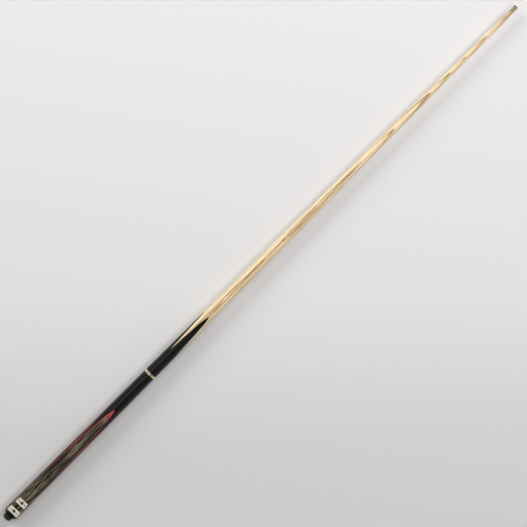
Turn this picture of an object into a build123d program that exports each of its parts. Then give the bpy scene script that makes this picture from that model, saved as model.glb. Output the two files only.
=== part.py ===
"""A three-quarter jointed cue, hand-spliced, lying on its side along +X.

The butt's rubber end is at the origin and the leather tip is at +X.  The flat on
the butt faces +Z.  A right-hand brass screw joins the butt to the shaft.
"""
from build123d import *
from build123d.topology import SkipClean
import math
import os

# ---- whole cue, millimetres ------------------------------------------------
CUE_LENGTH = 1448.0          # 57 inches from rubber to leather
JOINT_X = 409.0              # where the two halves part
BUTT_RADIUS = 15.5           # largest radius, at the shoulder
JOINT_RADIUS = 12.9
TIP_RADIUS = 4.5
SPREAD = 40.0                # half width of a cutting wedge, more than any radius

# ---- butt end ---------------------------------------------------------------
BUMPER_LENGTH = 8.6
BUMPER_RADIUS = 9.0
BUMPER_ROUND = 3.6
CAP_FACE_RADIUS = 10.0
CAP_BULGE = (11.75, 13.2)    # point on the rounded shoulder, x and radius
WOOD_START_X = 15.6          # butt cap ends and the spliced blank begins
FLAT_APEX_X = 118.0          # where the flat runs out into the round
FLAT_SLOPE = 0.055

# ---- badge plates let into the flat -----------------------------------------
PLATE_THICKNESS = 0.5
PLATES = {"badge_plate_rear": (18.2, 30.0), "badge_plate_front": (40.6, 53.2)}

# ---- splices ----------------------------------------------------------------
FIGURED_TIP_X = 308.6        # point of the red veneer
FIGURED_SLOPE = 0.0302
VENEER_THICKNESS = 0.55
BUTT_CORE_START = 4.0        # half width of the square ash core at the butt cap
EBONY_TIP_X = 572.6          # points of the ebony on the shaft
EBONY_SLOPE = 0.0284
SHAFT_CLOCKING = 11.5        # degrees from the flat to a shaft point, joint done up
SHAFT_SEAM_X = 600.0         # the shaft's round side is two faces, the ebony in the first
SIDES = {"front": 0.0, "right": 90.0, "back": 180.0, "left": 270.0}
GLUED_LAST = ("front", "back")

# ---- weight, plug and bumper screw --------------------------------------------
WEIGHT_BORE_RADIUS = 5.0
WEIGHT_RADIUS = 4.95
PLUG_END_X = 33.0
WEIGHT_END_X = 123.0
SCREW_HOLE_RADIUS = 2.1
SCREW_RADIUS = 2.0
SCREW_ROOT_RADIUS = 1.4
SCREW_HEAD_RADIUS = 4.0
SCREW_HEAD_START_X = 3.4
SCREW_HEAD_THICKNESS = 2.0
SCREW_END_X = 31.0
SCREW_PITCH = 1.8

# ---- screw joint --------------------------------------------------------------
COLLAR_WIDTH = 2.6
THREAD_PITCH = 1.75          # M12 coarse, right hand
THREAD_RADIUS = 6.0
THREAD_ROOT_RADIUS = 4.95
THREAD_CREST = 0.3
THREAD_BASE = 1.45
THREAD_SINK = 0.25           # how far the ridge is buried in its core
THREAD_CLEARANCE = 0.1
COLLAR_BORE_RADIUS = 6.4
STUD_REACH = 20.0            # from the joint face into the butt
STUD_SHANK_RADIUS = 5.0
STUD_ANCHOR = 30.0           # glued into the shaft
STUD_GROOVE_DEPTH = 0.4
STUD_GROOVE_PITCH = 4.0
STUD_CHAMFER = 1.0
INSERT_LENGTH = 24.0
INSERT_RADIUS = 8.0

# ---- ferrule and tip ------------------------------------------------------------
TIP_HEIGHT = 5.5
TIP_DOME = 1.2
FERRULE_LENGTH = 11.0
FERRULE_CAP = 1.0
TENON_RADIUS = 3.7
GLUE_LINE = 0.05

# ---- stations worked out from the sizes above --------------------------------------
BUTT_COLLAR_X = JOINT_X - COLLAR_WIDTH
SHAFT_COLLAR_X = JOINT_X + COLLAR_WIDTH
FERRULE_END_X = CUE_LENGTH - TIP_HEIGHT
FERRULE_X = FERRULE_END_X - FERRULE_LENGTH
BUTT_TAPER = (BUTT_RADIUS - JOINT_RADIUS) / (JOINT_X - WOOD_START_X)
SHAFT_TAPER = (JOINT_RADIUS - TIP_RADIUS) / (FERRULE_END_X - JOINT_X)


def cue_radius(x):
    """Outer radius of the wood at station x."""
    if x < JOINT_X:
        return BUTT_RADIUS - (x - WOOD_START_X) * BUTT_TAPER
    return JOINT_RADIUS - (x - JOINT_X) * SHAFT_TAPER


def turned(*stations):
    """Solid of revolution about X through (x, radius) stations, with its seam at +Z."""
    first, last = stations[0][0], stations[-1][0]
    outline = Polyline((first, 0), *stations, (last, 0), close=True)
    return revolve(Plane.XZ * make_face(outline), axis=Axis.X, clean=False)


def barrel(start, end):
    """The tapered outside of the cue between two stations on one half of it."""
    return turned((start, cue_radius(start)), (end, cue_radius(end)))


def rod(start, end, radius):
    """Plain round bar along X."""
    return turned((start, radius), (end, radius))


def above(x, height, slope):
    """Everything above a plane that rises along X and has the given height at station x."""
    ends = (-SPREAD, CUE_LENGTH)
    rise = [(end, height + slope * (end - x)) for end in ends]
    top = SPREAD + slope * CUE_LENGTH
    outline = Polyline(*rise, (CUE_LENGTH, top), (-SPREAD, top), close=True)
    return extrude(Plane.XZ * make_face(outline), amount=SPREAD, both=True)


def slab(start, end):
    """Everything between two stations."""
    size = 2 * SPREAD
    return Pos((start + end) / 2, 0, 0) * Box(end - start, size, size)


def splice(blank, x, height, slope):
    """Cut a blank into its square core and the four splices on it.

    Each splice is returned as if its side faced +Z.  The side splices are glued
    first, so the front and back ones run over them.
    """
    wedge = above(x, height, slope)
    outer = blank & wedge
    inner = outer - wedge.rotate(Axis.X, SIDES["left"]) - wedge.rotate(Axis.X, SIDES["right"])
    core = blank
    for turn in SIDES.values():
        core = core - wedge.rotate(Axis.X, turn)
    return core, {side: outer if side in GLUED_LAST else inner for side in SIDES}


def thread_ridge(start, turns, root, height, grow=0.0):
    """Right-hand helical ridge about X that begins at station start."""
    path = Helix(THREAD_PITCH, turns * THREAD_PITCH, root, center=(start, 0, 0), direction=(1, 0, 0))
    foot = path @ 0
    outward = foot - Vector(start, 0, 0)
    base = THREAD_BASE / 2 + grow
    crest = THREAD_CREST / 2 + grow
    outline = Polyline(
        (-THREAD_SINK, -base), (height, -crest), (height, crest), (-THREAD_SINK, base), close=True
    )
    section = Plane(origin=foot, x_dir=outward, z_dir=path % 0) * make_face(outline)
    return sweep(section, path=path, is_frenet=True)


def ringed_bar(start, end, crest, root, pitch):
    """Round bar with a row of V grooves turned into it."""
    bar = rod(start, end, crest)
    count = int((end - start) / pitch)
    half = (crest - root) / math.tan(math.radians(45))
    for number in range(count):
        middle = start + (number + 0.5) * pitch
        groove = turned((middle - half, crest), (middle, root), (middle + half, crest))
        ring = rod(middle - half, middle + half, crest) - groove
        bar = bar - ring
    return bar


# ---- leather tip and ferrule ---------------------------------------------------------
def leather_tip():
    dome_start = CUE_LENGTH - TIP_DOME
    side = Polyline((FERRULE_END_X, 0), (FERRULE_END_X, TIP_RADIUS), (dome_start, TIP_RADIUS))
    dome_radius = (TIP_RADIUS**2 + TIP_DOME**2) / (2 * TIP_DOME)
    halfway = math.asin(TIP_RADIUS / dome_radius) / 2
    centre = CUE_LENGTH - dome_radius
    middle = (centre + dome_radius * math.cos(halfway), dome_radius * math.sin(halfway))
    dome = ThreePointArc((dome_start, TIP_RADIUS), middle, (CUE_LENGTH, 0))
    floor = Line((CUE_LENGTH, 0), (FERRULE_END_X, 0))
    return revolve(make_face([*side.edges(), dome, floor]), axis=Axis.X)


def brass_ferrule():
    bore = rod(FERRULE_X, FERRULE_END_X - FERRULE_CAP, TENON_RADIUS + GLUE_LINE)
    return barrel(FERRULE_X, FERRULE_END_X) - bore


# ---- shaft ----------------------------------------------------------------------------
def shaft_pieces():
    """The ash shaft and its four ebony points."""
    stations = (SHAFT_COLLAR_X, SHAFT_SEAM_X, FERRULE_X)
    blank = turned(*[(x, cue_radius(x)) for x in stations])
    ash, points = splice(blank, EBONY_TIP_X, cue_radius(EBONY_TIP_X), EBONY_SLOPE)
    ash = ash.rotate(Axis.X, SHAFT_CLOCKING)
    ash = ash + rod(FERRULE_X, FERRULE_END_X - FERRULE_CAP - GLUE_LINE, TENON_RADIUS)
    ash = ash - rod(SHAFT_COLLAR_X, JOINT_X + STUD_ANCHOR, STUD_SHANK_RADIUS)
    pieces = {"ash_shaft": ash}
    for side, turn in SIDES.items():
        point = points[side].rotate(Axis.X, turn + SHAFT_CLOCKING)
        pieces[f"shaft_ebony_splice_{side}"] = point
    return pieces


# ---- butt -------------------------------------------------------------------------------
def flat_cutter(depth=0.0):
    """Everything above the butt's flat, or above a plane that much deeper."""
    return above(FLAT_APEX_X, cue_radius(FLAT_APEX_X) - depth, FLAT_SLOPE)


def badge_plates(blank):
    """Thin plates let into the flat and dressed flush with the round sides."""
    layer = (blank & flat_cutter(PLATE_THICKNESS)) - flat_cutter()
    return {name: layer & slab(start, end) for name, (start, end) in PLATES.items()}


def butt_pieces():
    """Ash core, ebony, red veneers, figured splices and badge plates of the butt."""
    blank = barrel(WOOD_START_X, BUTT_COLLAR_X)
    height = cue_radius(FIGURED_TIP_X)
    dark, overlays = splice(blank, FIGURED_TIP_X, height, FIGURED_SLOPE)
    core_at_joint = cue_radius(EBONY_TIP_X) - EBONY_SLOPE * (EBONY_TIP_X - JOINT_X)
    core_slope = (core_at_joint - BUTT_CORE_START) / (JOINT_X - WOOD_START_X)
    ash, strips = splice(dark, WOOD_START_X, BUTT_CORE_START, core_slope)
    figured = above(FIGURED_TIP_X, height + VENEER_THICKNESS, FIGURED_SLOPE)
    pieces = {"butt_ash_core": ash}
    for side, turn in SIDES.items():
        pieces[f"butt_ebony_strip_{side}"] = strips[side].rotate(Axis.X, turn)
        pieces[f"red_veneer_{side}"] = (overlays[side] - figured).rotate(Axis.X, turn)
        pieces[f"figured_splice_{side}"] = (overlays[side] & figured).rotate(Axis.X, turn)
    plates = badge_plates(blank)
    front = pieces["figured_splice_front"] - flat_cutter()
    for plate in plates.values():
        front = front - plate
    pieces["figured_splice_front"] = front
    bores = (
        rod(WOOD_START_X, WEIGHT_END_X, WEIGHT_BORE_RADIUS),
        rod(BUTT_COLLAR_X - INSERT_LENGTH, BUTT_COLLAR_X, INSERT_RADIUS),
    )
    for name in pieces:
        for bore in bores:
            pieces[name] = pieces[name] - bore
    return {**pieces, **plates}


def butt_cap():
    """Black end ring with a rounded shoulder."""
    face = Polyline(
        (WOOD_START_X, BUTT_RADIUS), (WOOD_START_X, 0), (BUMPER_LENGTH, 0),
        (BUMPER_LENGTH, CAP_FACE_RADIUS),
    )
    shoulder = ThreePointArc(
        (BUMPER_LENGTH, CAP_FACE_RADIUS), CAP_BULGE, (WOOD_START_X, BUTT_RADIUS)
    )
    ring = revolve(make_face([*face.edges(), shoulder]), axis=Axis.X)
    return ring - flat_cutter() - rod(BUMPER_LENGTH, WOOD_START_X, SCREW_HOLE_RADIUS)


def butt_plug():
    """Dowel that closes the weight bore and takes the bumper's screw."""
    return rod(WOOD_START_X, PLUG_END_X, WEIGHT_BORE_RADIUS) - rod(
        WOOD_START_X, SCREW_END_X, SCREW_RADIUS
    )


def bumper_screw():
    """Steel screw moulded into the rubber."""
    neck = SCREW_HEAD_START_X + SCREW_HEAD_THICKNESS
    head = rod(SCREW_HEAD_START_X, neck, SCREW_HEAD_RADIUS)
    shank = rod(neck, WOOD_START_X, SCREW_RADIUS)
    threaded = ringed_bar(WOOD_START_X, SCREW_END_X, SCREW_RADIUS, SCREW_ROOT_RADIUS, SCREW_PITCH)
    return head + shank + threaded


def rubber_bumper():
    """Rubber foot with its rim rounded, moulded round the screw's head."""
    foot = rod(0, BUMPER_LENGTH, BUMPER_RADIUS)
    foot = fillet(foot.edges().group_by(Axis.X)[0], BUMPER_ROUND)
    neck = SCREW_HEAD_START_X + SCREW_HEAD_THICKNESS
    return foot - rod(SCREW_HEAD_START_X, neck, SCREW_HEAD_RADIUS) - rod(
        neck, BUMPER_LENGTH, SCREW_RADIUS
    )


# ---- screw joint ----------------------------------------------------------------------------
def shaft_collar():
    return barrel(JOINT_X, SHAFT_COLLAR_X) - rod(JOINT_X, SHAFT_COLLAR_X, STUD_SHANK_RADIUS)


def butt_collar():
    return barrel(BUTT_COLLAR_X, JOINT_X) - rod(BUTT_COLLAR_X, JOINT_X, COLLAR_BORE_RADIUS)


def joint_stud():
    """Threaded stud glued into the shaft and standing out of its face."""
    end = JOINT_X - STUD_REACH
    turns = math.floor((STUD_REACH - STUD_CHAMFER) / THREAD_PITCH)
    core = turned(
        (end, THREAD_ROOT_RADIUS - STUD_CHAMFER),
        (end + STUD_CHAMFER, THREAD_ROOT_RADIUS),
        (JOINT_X, THREAD_ROOT_RADIUS),
    )
    ridge = thread_ridge(
        end + STUD_CHAMFER, turns, THREAD_ROOT_RADIUS, THREAD_RADIUS - THREAD_ROOT_RADIUS
    )
    anchor = rod(JOINT_X, SHAFT_COLLAR_X, STUD_SHANK_RADIUS) + ringed_bar(
        SHAFT_COLLAR_X,
        JOINT_X + STUD_ANCHOR,
        STUD_SHANK_RADIUS,
        STUD_SHANK_RADIUS - STUD_GROOVE_DEPTH,
        STUD_GROOVE_PITCH,
    )
    return core + ridge + anchor


def joint_insert():
    """Brass sleeve in the butt, threaded right through to suit the stud."""
    start = BUTT_COLLAR_X - INSERT_LENGTH
    bore = THREAD_ROOT_RADIUS + THREAD_CLEARANCE
    stud_thread_start = JOINT_X - STUD_REACH + STUD_CHAMFER
    run_in = math.ceil((stud_thread_start - start) / THREAD_PITCH) + 1
    tap_start = stud_thread_start - run_in * THREAD_PITCH
    turns = math.ceil((BUTT_COLLAR_X - tap_start) / THREAD_PITCH) + 1
    tap_end = tap_start + turns * THREAD_PITCH
    depth = THREAD_RADIUS + THREAD_CLEARANCE - bore
    groove = thread_ridge(tap_start, turns, bore, depth, THREAD_CLEARANCE)
    tap = rod(tap_start - THREAD_PITCH, tap_end + THREAD_PITCH, bore) + groove
    return rod(start, BUTT_COLLAR_X, INSERT_RADIUS) - tap


def cue_pieces():
    """Every piece of the cue by name."""
    return {
        "leather_tip": leather_tip(),
        "brass_ferrule": brass_ferrule(),
        **shaft_pieces(),
        "shaft_collar": shaft_collar(),
        "joint_stud": joint_stud(),
        "butt_collar": butt_collar(),
        "joint_insert": joint_insert(),
        **butt_pieces(),
        "butt_cap": butt_cap(),
        "butt_plug": butt_plug(),
        "balance_weight": rod(PLUG_END_X, WEIGHT_END_X, WEIGHT_RADIUS),
        "rubber_bumper": rubber_bumper(),
        "bumper_screw": bumper_screw(),
    }


# The round face of a splice keeps its seam, so it stays two faces that meet along
# the middle of the splice and run out cleanly at the point.
with SkipClean():
    nodes = cue_pieces()

os.makedirs("parts", exist_ok=True)
for name, piece in nodes.items():
    export_step(piece, f"parts/{name}.step")
    print(f"{name:28s} {len(piece.solids())} solid, {piece.volume:10.1f} mm3")
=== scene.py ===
# %% [markdown]
# # A hand-spliced cue in two halves
# The cue lies along X with its rubber foot at the origin and its leather tip at the far end.  The
# flat on the butt faces up.  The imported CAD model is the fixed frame: it says where every piece
# is and which pieces turn when the joint is unscrewed.  Here each piece that shows is made again
# with a fine surface and given the finish of the real material.

# %% The frame
import math

import bpy
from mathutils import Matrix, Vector


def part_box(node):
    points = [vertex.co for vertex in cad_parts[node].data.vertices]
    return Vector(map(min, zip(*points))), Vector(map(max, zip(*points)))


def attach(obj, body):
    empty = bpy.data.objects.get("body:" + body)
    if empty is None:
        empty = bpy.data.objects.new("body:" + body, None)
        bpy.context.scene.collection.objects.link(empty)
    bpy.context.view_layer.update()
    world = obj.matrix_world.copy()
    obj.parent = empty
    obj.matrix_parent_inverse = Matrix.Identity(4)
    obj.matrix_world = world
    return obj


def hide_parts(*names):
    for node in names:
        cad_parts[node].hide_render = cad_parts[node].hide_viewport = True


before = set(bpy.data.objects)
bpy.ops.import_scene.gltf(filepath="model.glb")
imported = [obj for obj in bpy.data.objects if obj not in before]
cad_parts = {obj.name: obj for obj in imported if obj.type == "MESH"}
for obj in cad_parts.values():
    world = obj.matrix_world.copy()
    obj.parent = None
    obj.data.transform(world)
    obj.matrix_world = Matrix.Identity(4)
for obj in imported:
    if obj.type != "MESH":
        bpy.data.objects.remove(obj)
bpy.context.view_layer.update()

# %% [markdown]
# ## The turning sheet
# A cue maker works from a short list of stations and diameters.  The stations are read from the
# CAD boxes, and the radii and slopes are the ones that the CAD model was turned to.  Everything
# is in millimetres here and becomes metres only where Blender is called.

# %% Stations, radii and slopes
MM = 0.001


def span(node):
    """First and last station of a CAD node along the cue, in millimetres."""
    low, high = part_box(node)
    return round(low[0] / MM, 3), round(high[0] / MM, 3)


FOOT_X, CAP_X = span("rubber_bumper")
WOOD_X = span("butt_cap")[1]
BUTT_COLLAR_X, JOINT_X = span("butt_collar")
SHAFT_COLLAR_X = span("shaft_collar")[1]
FIGURED_TIP_X = span("red_veneer_front")[1]
EBONY_TIP_X = span("shaft_ebony_splice_front")[1]
FERRULE_X, LEATHER_X = span("brass_ferrule")
TIP_X = span("leather_tip")[1]

BUTT_RADIUS, JOINT_RADIUS, TIP_RADIUS = 15.5, 12.9, 4.5
FIGURED_SLOPE, EBONY_SLOPE, FLAT_SLOPE = 0.0302, 0.0284, 0.055
FLAT_APEX_X = 118.0    # the flat runs out of the wood here
VENEER = 0.55
CORE_START = 4.0       # half the square core's width at the cap
CLOCKING = 11.5        # degrees that the shaft's splices are turned from the butt's
TURNS = {"front": 0.0, "right": 90.0, "back": 180.0, "left": 270.0}
PAST = 1.0    # a drill or a cutter starts this far outside the piece


def cue_radius(x):
    """Outer radius of the cue at station x."""
    if x < JOINT_X:
        return BUTT_RADIUS - (BUTT_RADIUS - JOINT_RADIUS) * (x - WOOD_X) / (JOINT_X - WOOD_X)
    return JOINT_RADIUS - (JOINT_RADIUS - TIP_RADIUS) * (x - JOINT_X) / (LEATHER_X - JOINT_X)


print("stations", FOOT_X, CAP_X, WOOD_X, JOINT_X, EBONY_TIP_X, FERRULE_X, LEATHER_X, TIP_X)

# %% [markdown]
# ## Turning on the lathe
# Nearly every piece of a cue is turned.  In Blender a turned piece can come from the Spin
# operator, but pulling a disc along the axis and resizing it at each station gives the same
# shape with no pole, no seam and nothing to merge.  All pieces are drawn with the same 128
# sides, so two pieces that were turned as one blank still share their facets.

# %% The lathe
SIDES = 128


def turned(name, stations):
    """Pull a disc along X through (x, radius) stations in millimetres and close both ends."""
    bpy.ops.object.select_all(action="DESELECT")
    x, radius = stations[0]
    bpy.ops.mesh.primitive_circle_add(
        vertices=SIDES, radius=radius * MM, fill_type="NGON",
        location=(x * MM, 0, 0), rotation=(0, math.radians(90), 0),
    )
    piece = bpy.context.object
    piece.name = piece.data.name = name
    bpy.ops.object.transform_apply(location=True, rotation=True, scale=True)
    bpy.ops.object.mode_set(mode="EDIT")
    bpy.ops.mesh.select_mode(type="FACE")
    bpy.ops.mesh.select_all(action="SELECT")
    for next_x, next_radius in stations[1:]:
        step = ((next_x - x) * MM, 0, 0)
        bpy.ops.mesh.extrude_region_move(TRANSFORM_OT_translate={"value": step})
        grow = next_radius / radius
        bpy.ops.transform.resize(value=(1, grow, grow), center_override=(next_x * MM, 0, 0))
        x, radius = next_x, next_radius
    bpy.ops.mesh.select_all(action="SELECT")
    bpy.ops.mesh.normals_make_consistent(inside=False)
    bpy.ops.object.mode_set(mode="OBJECT")
    return piece


def cone(name, start, end):
    """The plain tapered blank between two stations on one half of the cue."""
    return turned(name, [(start, cue_radius(start)), (end, cue_radius(end))])


print("lathe:", SIDES, "sides, facets", round(2 * math.pi * BUTT_RADIUS / SIDES, 2), "mm wide")

# %% [markdown]
# ## Rounded profiles
# A shoulder or a dome is an arc in the profile.  Three points fix the arc, as three dots on the
# maker's template would, and the stations between them are evenly spread round it.

# %% Arc stations
def arc(first, middle, last, steps):
    """Stations along the arc through three (x, radius) points."""
    (ax, ay), (bx, by), (cx, cy) = first, middle, last
    d = 2 * (ax * (by - cy) + bx * (cy - ay) + cx * (ay - by))
    a2, b2, c2 = ax**2 + ay**2, bx**2 + by**2, cx**2 + cy**2
    mid_x = (a2 * (by - cy) + b2 * (cy - ay) + c2 * (ay - by)) / d
    mid_y = (a2 * (cx - bx) + b2 * (ax - cx) + c2 * (bx - ax)) / d
    radius = math.hypot(ax - mid_x, ay - mid_y)
    start = math.atan2(ay - mid_y, ax - mid_x)
    sweep = math.atan2(cy - mid_y, cx - mid_x) - start
    sweep = (sweep + math.pi) % (2 * math.pi) - math.pi
    angles = [start + sweep * step / steps for step in range(steps + 1)]
    return [(mid_x + radius * math.cos(a), mid_y + radius * math.sin(a)) for a in angles]


quarter = arc((0.0, 0.0), (0.293, 0.707), (1.0, 1.0), 3)
print("quarter circle:", [(round(x, 2), round(y, 2)) for x, y in quarter])

# %% [markdown]
# ## Planing
# A splice is a flat face planed on the blank at a slight angle to the axis.  A Boolean with a
# large block could cut it, but Bisect is quicker and exact: it cuts a mesh at a plane and fills
# the cut, so the piece stays closed.  Several cuts in turn give a strip or a spear.

# %% The plane
def glue_plane(x, height, slope, turn):
    """A point on a splice's glue line and its normal, turned so many degrees round the cue."""
    angle = math.radians(turn)
    out = Vector((0, -math.sin(angle), math.cos(angle)))
    return Vector((x, 0, 0)) * MM + out * height * MM, (out - Vector((slope, 0, 0))).normalized()


def under(plane):
    """Keep what lies under a plane: the cut takes off the side that the normal points to."""
    return plane


def over(plane):
    """Keep what lies over a plane."""
    point, normal = plane
    return point, -normal


def dress(piece, cuts):
    """Plane a piece to its glue faces."""
    bpy.ops.object.select_all(action="DESELECT")
    piece.select_set(True)
    bpy.context.view_layer.objects.active = piece
    bpy.ops.object.mode_set(mode="EDIT")
    for point, normal in cuts:
        bpy.ops.mesh.select_all(action="SELECT")
        bpy.ops.mesh.bisect(
            plane_co=point, plane_no=normal, use_fill=True, clear_outer=True, threshold=1e-7
        )
    bpy.ops.mesh.select_all(action="SELECT")
    bpy.ops.mesh.normals_make_consistent(inside=False)
    bpy.ops.object.mode_set(mode="OBJECT")
    return piece


front_splice = glue_plane(FIGURED_TIP_X, cue_radius(FIGURED_TIP_X), FIGURED_SLOPE, 0)
print("front splice runs out at", [round(c / MM, 1) for c in front_splice[0]], "mm")

# %% [markdown]
# ## Drilling
# A bore or a pocket can't be cut by one plane, so it is a Boolean modifier that is applied at
# once.  A drill is a turned piece too, and every cutter reaches a little past the surface,
# because two faces that lie in one plane are hard for a Boolean to tell apart.

# %% The drill
def cut_with(piece, cutter):
    """Take the cutter's shape out of the piece and throw the cutter away."""
    pocket = piece.modifiers.new("pocket", "BOOLEAN")
    pocket.operation = "DIFFERENCE"
    pocket.solver = "EXACT"
    pocket.object = cutter
    bpy.context.view_layer.objects.active = piece
    bpy.ops.object.modifier_apply(modifier=pocket.name)
    bpy.data.objects.remove(cutter)
    return piece


def drill(piece, start, end, radius):
    """Bore the piece along the cue's axis."""
    return cut_with(piece, turned("drill", [(start, radius), (end, radius)]))


print("a bore starts", PAST, "mm outside the piece")

# %% [markdown]
# ## Fixing a piece to the cue
# A finished piece is smoothed, rides on its half of the cue and stands for its CAD node.
# Smoothing stops at a small angle, so the glued faces stay sharp against the round outside.
# An open edge would show as a hole, so the open vertices are counted and printed as well.

# %% Smooth, ride and count
def finish_piece(piece, body, slot, *nodes, angle=7.0):
    """Smooth a piece, fix it to its body and hide the CAD nodes that it stands for."""
    bpy.ops.object.select_all(action="DESELECT")
    piece.select_set(True)
    bpy.context.view_layer.objects.active = piece
    bpy.ops.object.shade_smooth_by_angle(angle=math.radians(angle))
    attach(piece, body)
    if nodes:
        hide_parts(*nodes)
    bpy.ops.object.mode_set(mode="EDIT")
    bpy.ops.mesh.select_mode(type="VERT")
    bpy.ops.mesh.select_all(action="DESELECT")
    bpy.ops.mesh.select_non_manifold()
    bpy.ops.object.mode_set(mode="OBJECT")
    loose = sum(vertex.select for vertex in piece.data.vertices)
    piece.select_set(False)
    print(f"{piece.name:26s} {len(piece.data.polygons):5d} faces, {loose} open vertices")


# %% [markdown]
# ## Adding nodes
# Every finish below is a small tree of nodes.  One function adds a node, sets its options and
# fills its sockets, either with a value or from another node.  Colours are written as the hex
# values that a colour picker shows, and one function makes them linear.

# %% The paint box
def colour(hex_value):
    """An sRGB hex colour as the linear colour that a shader wants."""
    parts = [int(hex_value[i:i + 2], 16) / 255 for i in (1, 3, 5)]
    linear = [p / 12.92 if p <= 0.04045 else ((p + 0.055) / 1.055) ** 2.4 for p in parts]
    return (*linear, 1.0)


def add(tree, kind, sockets=None, stops=None, **options):
    """Add a node; sockets maps an input to a value or to another node's output."""
    node = tree.nodes.new("ShaderNode" + kind)
    for option, value in options.items():
        setattr(node, option, value)
    for name, source in (sockets or {}).items():
        if isinstance(source, bpy.types.NodeSocket):
            tree.links.new(source, node.inputs[name])
        else:
            node.inputs[name].default_value = source
    if stops:
        ramp = node.color_ramp
        while len(ramp.elements) < len(stops):
            ramp.elements.new(1.0)
        for element, (place, shade) in zip(ramp.elements, stops):
            element.position = place
            element.color = shade if isinstance(shade, tuple) else (shade, shade, shade, 1)
    return node


def per_mm(x, y, z):
    """Scale of a pattern whose features are so many millimetres long along each axis."""
    return (1 / (x * MM), 1 / (y * MM), 1 / (z * MM))


def new_finish(name, **constants):
    """A material with one Principled shader; its constants sit on the shader's own sockets."""
    material = bpy.data.materials.new(name)
    material.use_nodes = True
    tree = material.node_tree
    tree.nodes.clear()
    sockets = {key.replace("_", " "): value for key, value in constants.items()}
    skin = add(tree, "BsdfPrincipled", sockets)
    add(tree, "OutputMaterial", {"Surface": skin.outputs["BSDF"]})
    place = add(tree, "TexCoord").outputs["Object"]
    return material, tree, skin, place


def recoloured(material, name, shades):
    """A copy of a finish with other colours on its one ramp."""
    copy = material.copy()
    copy.name = name
    ramp = next(node.color_ramp for node in copy.node_tree.nodes if node.type == "VALTORGB")
    for element, shade in zip(ramp.elements, shades):
        element.color = colour(shade)
    return copy


print("mid grey is", round(colour("#808080")[0], 3), "in linear light")

# %% [markdown]
# ## Ash
# The shaft is one straight length of ash, sanded and rubbed with oil.  Each year's growth is a
# nearly flat layer that runs the length of the wood, with a dark band of open pores and a pale
# dense band.  The taper cuts through the layers one after another, so each dark band runs out
# in an arrow that points to the tip.  The pattern is drawn the same way: the height of a point
# across the shaft picks the layer, so the arrows come from the real taper and close up on all
# sides.  A little past the middle of the cue the layers dip, which turns one arrow round, and
# towards the tip they rise, which brings short arrows close together.  A colour ramp holds at
# most 32 stops and a layer takes four, so the layers are shared out between three ramps.

# %% Growth layers
GRAIN_TURN = 4.0                 # degrees that the layers lean from the flat
DIP = (776.0, 808.0, 2.2)        # the layers sink by so many millimetres between two stations
RISE = (1000.0, 1450.0, -24.8)   # and rise again, so this drop is negative
CUP = 0.03                       # they curl up at the sides by this times the distance squared
SWAY = 0.16                      # and waver up and down by so many millimetres
EDGE = 0.025                     # half the width of a layer's sharp edge
FADE_AT, FADE_TO = 0.45, 0.75    # this far through a layer, this much of its dark is left
CROWN = (3.4, 12.8)              # heights covered by each set of layers
HEART = (-14.0, 3.4)
DEEP = (-32.0, -14.0)
# each layer: where it starts, where it has faded out, how dark it is
CROWN_LAYERS = [
    (3.86, 5.35, 0.9), (8.25, 8.4, 0.35), (9.90, 10.12, 1.0), (10.24, 11.15, 1.0),
    (11.2, 12.3, 0.8),
]
HEART_LAYERS = [
    (-12.7, -11.2, 0.8), (-8.9, -8.2, 0.8), (-6.12, -4.6, 0.85), (-2.58, -0.2, 1.0),
    (1.3, 1.5, 0.35),
]
DEEP_LAYERS = [
    (-30.5, -29.6, 0.8), (-28.0, -27.1, 0.7), (-25.4, -24.1, 0.8), (-22.2, -21.6, 0.7),
    (-19.6, -18.2, 0.8), (-16.3, -15.8, 0.7),
]


def layer_stops(layers, reach):
    """Ramp stops for dark layers: each begins sharply and fades as it goes outwards."""
    low, high = reach
    stops = []
    for start, end, dark in layers:
        late = start + (end - start) * FADE_AT
        for height, shade in (
            (start - EDGE, 0.0), (start + EDGE, dark), (late, dark * FADE_TO), (end, 0.0)
        ):
            stops.append(((height - low) / (high - low), shade))
    return stops


SETS = ((CROWN, CROWN_LAYERS), (HEART, HEART_LAYERS), (DEEP, DEEP_LAYERS))
print("dark layers:", sum(len(layers) for reach, layers in SETS))

# %% [markdown]
# Ash, sanded with the grain and oiled.  To the eye it is pale straw with brown arrows, a soft
# sheen, and short dark pores in the dark bands.  Real pores are about 0.2 mm wide; they are
# drawn 0.5 mm wide here so that they still show.  Near the tip, chalk and the player's hand
# have turned the wood a little grey.

# %% Ash finish
CHALKED = (1375.0, 1425.0, 0.85)    # the grey comes in between two stations, and how much
ash, tree, skin, place = new_finish(
    "ash_sanded_and_oiled", IOR=1.48, Coat_Weight=0.12, Coat_Roughness=0.3
)
across = add(tree, "Mapping", {
    "Vector": place, "Rotation": (math.radians(GRAIN_TURN), 0, 0), "Scale": per_mm(1, 1, 1),
})
axes = add(tree, "SeparateXYZ", {"Vector": across.outputs["Vector"]})
dips = [
    add(tree, "MapRange", {
        "Value": axes.outputs["X"], "From Min": start, "From Max": end, "To Max": drop,
    })
    for start, end, drop in (DIP, RISE)
]
cup = add(tree, "Math", {0: axes.outputs["Y"], 1: axes.outputs["Y"]}, operation="MULTIPLY")
sway = add(tree, "TexNoise", {
    "Vector": add(tree, "Mapping", {"Vector": place, "Scale": per_mm(70, 9, 9)}).outputs[0],
    "Scale": 1.0, "Detail": 3.0,
})
swayed = add(tree, "MapRange", {"Value": sway.outputs["Fac"], "To Min": -SWAY, "To Max": SWAY})
curled = add(tree, "Math", {
    0: cup.outputs[0], 1: -CUP, 2: axes.outputs["Z"],
}, operation="MULTIPLY_ADD")
sunk = curled
for dip in dips:
    sunk = add(tree, "Math", {0: sunk.outputs[0], 1: dip.outputs["Result"]}, operation="ADD")
layer = add(tree, "Math", {0: sunk.outputs[0], 1: swayed.outputs["Result"]}, operation="ADD")
band = None
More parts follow.
